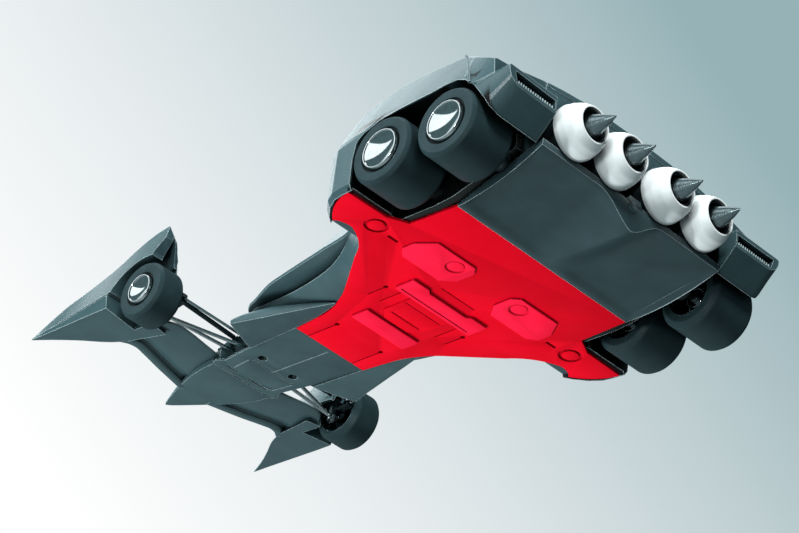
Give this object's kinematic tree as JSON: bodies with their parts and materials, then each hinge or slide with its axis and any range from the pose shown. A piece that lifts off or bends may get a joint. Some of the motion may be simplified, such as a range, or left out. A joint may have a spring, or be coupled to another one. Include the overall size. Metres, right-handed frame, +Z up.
{
  "type": "six-wheeled race car model",
  "caption": "Futuristic six-wheeled race car model with steered front wheels in pointed pods, wide rear wheels, red floor plate, tunnel diffuser and rear jet nozzles.",
  "frame": {"origin": "on the ground below the middle of the car", "axes": "+X forward, +Y to the left of the car, +Z up"},
  "size_m": [0.28, 0.1598, 0.0486],
  "materials": {
    "body_slate": "satin slate-grey lacquer with fine metallic grain",
    "floor_red": "satin red lacquer",
    "tyre": "satin black rubber slick",
    "polished_rim": "polished, dished centre",
    "nozzle_white": "satin white",
    "nozzle_dark": "matt black",
    "spun_metal": "dark spun metal",
    "canopy_glass": "smoked gloss",
    "grille_black": "matt black",
    "chrome_link": "bright plated",
    "axle_steel": "turned steel"
  },
  "bodies": {
    "chassis": {"axle_bearings": "axle_steel", "body_shell": "body_slate", "canopy": "canopy_glass", "centre_hatch": "floor_red", "diffuser": "body_slate", "diffuser_screw": "body_slate", "fender_left": "body_slate", "fender_right": "body_slate", "floor_pad_left": "floor_red", "floor_pad_right": "floor_red", "floor_plate": "floor_red", "front_wing": "body_slate", "kingpins": "chrome_link", "latch_bar_front": "floor_red", "latch_bar_rear": "floor_red", "lower_arm_left": "chrome_link", "lower_arm_right": "chrome_link", "nose_floor": "body_slate", "nose_tip": "body_slate", "nozzle_liners": "nozzle_dark", "nozzle_shell_1": "nozzle_white", "nozzle_shell_2": "nozzle_white", "nozzle_shell_3": "nozzle_white", "nozzle_shell_4": "nozzle_white", "pod_left": "body_slate", "pod_right": "body_slate", "rear_deck": "body_slate", "spike_cone_1": "spun_metal", "spike_cone_2": "spun_metal", "spike_cone_3": "spun_metal", "spike_cone_4": "spun_metal", "strake_left": "body_slate", "strake_right": "body_slate", "suspension_bulkhead": "grille_black", "upper_arm_left": "chrome_link", "upper_arm_right": "chrome_link", "vent_grille_left": "grille_black", "vent_grille_right": "grille_black", "vent_housing_left": "body_slate", "vent_housing_right": "body_slate"},
    "rear_wheelset_front": {"rear_axle_front": "axle_steel", "rim_rear_front_left": "polished_rim", "rim_rear_front_right": "polished_rim", "tyre_rear_front_left": "tyre", "tyre_rear_front_right": "tyre"},
    "rear_wheelset_back": {"rear_axle_back": "axle_steel", "rim_rear_back_left": "polished_rim", "rim_rear_back_right": "polished_rim", "tyre_rear_back_left": "tyre", "tyre_rear_back_right": "tyre"},
    "steering_rack": {"steering_rack": "chrome_link"},
    "knuckle_left": {"knuckle_left": "chrome_link"},
    "knuckle_right": {"knuckle_right": "chrome_link"},
    "front_wheel_left": {"brake_disc_left": "chrome_link", "rim_front_left": "polished_rim", "tyre_front_left": "tyre"},
    "front_wheel_right": {"brake_disc_right": "chrome_link", "rim_front_right": "polished_rim", "tyre_front_right": "tyre"}
  },
  "joints": [
    {"name": "rear_front_axle_spin", "type": "hinge", "parent": "chassis", "child": "rear_wheelset_front", "pos_m": [-0.0672, 0, 0.014], "axis": [0, 1, 0], "continuous": true},
    {"name": "rear_back_axle_spin", "type": "hinge", "parent": "chassis", "child": "rear_wheelset_back", "pos_m": [-0.0988, 0, 0.014], "axis": [0, 1, 0], "continuous": true},
    {"name": "steer_left", "type": "hinge", "parent": "chassis", "child": "knuckle_left", "pos_m": [0.078, 0.0469, 0.014], "axis": [0, 0, 1], "range_deg": [-6, 6]},
    {"name": "steer_right", "type": "hinge", "parent": "chassis", "child": "knuckle_right", "pos_m": [0.078, -0.0469, 0.014], "axis": [0, 0, 1], "range_deg": [-6.1, 6.1]},
    {"name": "rack_slide", "type": "slide", "parent": "chassis", "child": "steering_rack", "axis": [0, 1, 0], "range_m": [-0.0009, 0.0009]},
    {"name": "front_left_wheel_spin", "type": "hinge", "parent": "knuckle_left", "child": "front_wheel_left", "pos_m": [0.078, 0.055, 0.014], "axis": [0, 1, 0], "continuous": true},
    {"name": "front_right_wheel_spin", "type": "hinge", "parent": "knuckle_right", "child": "front_wheel_right", "pos_m": [0.078, -0.055, 0.014], "axis": [0, 1, 0], "continuous": true}
  ],
  "couplings": [
    {"joint": "steer_right", "follows": "steer_left", "ratio": 1},
    {"joint": "rack_slide", "follows": "steer_left", "m_per_rad": -0.008}
  ]
}
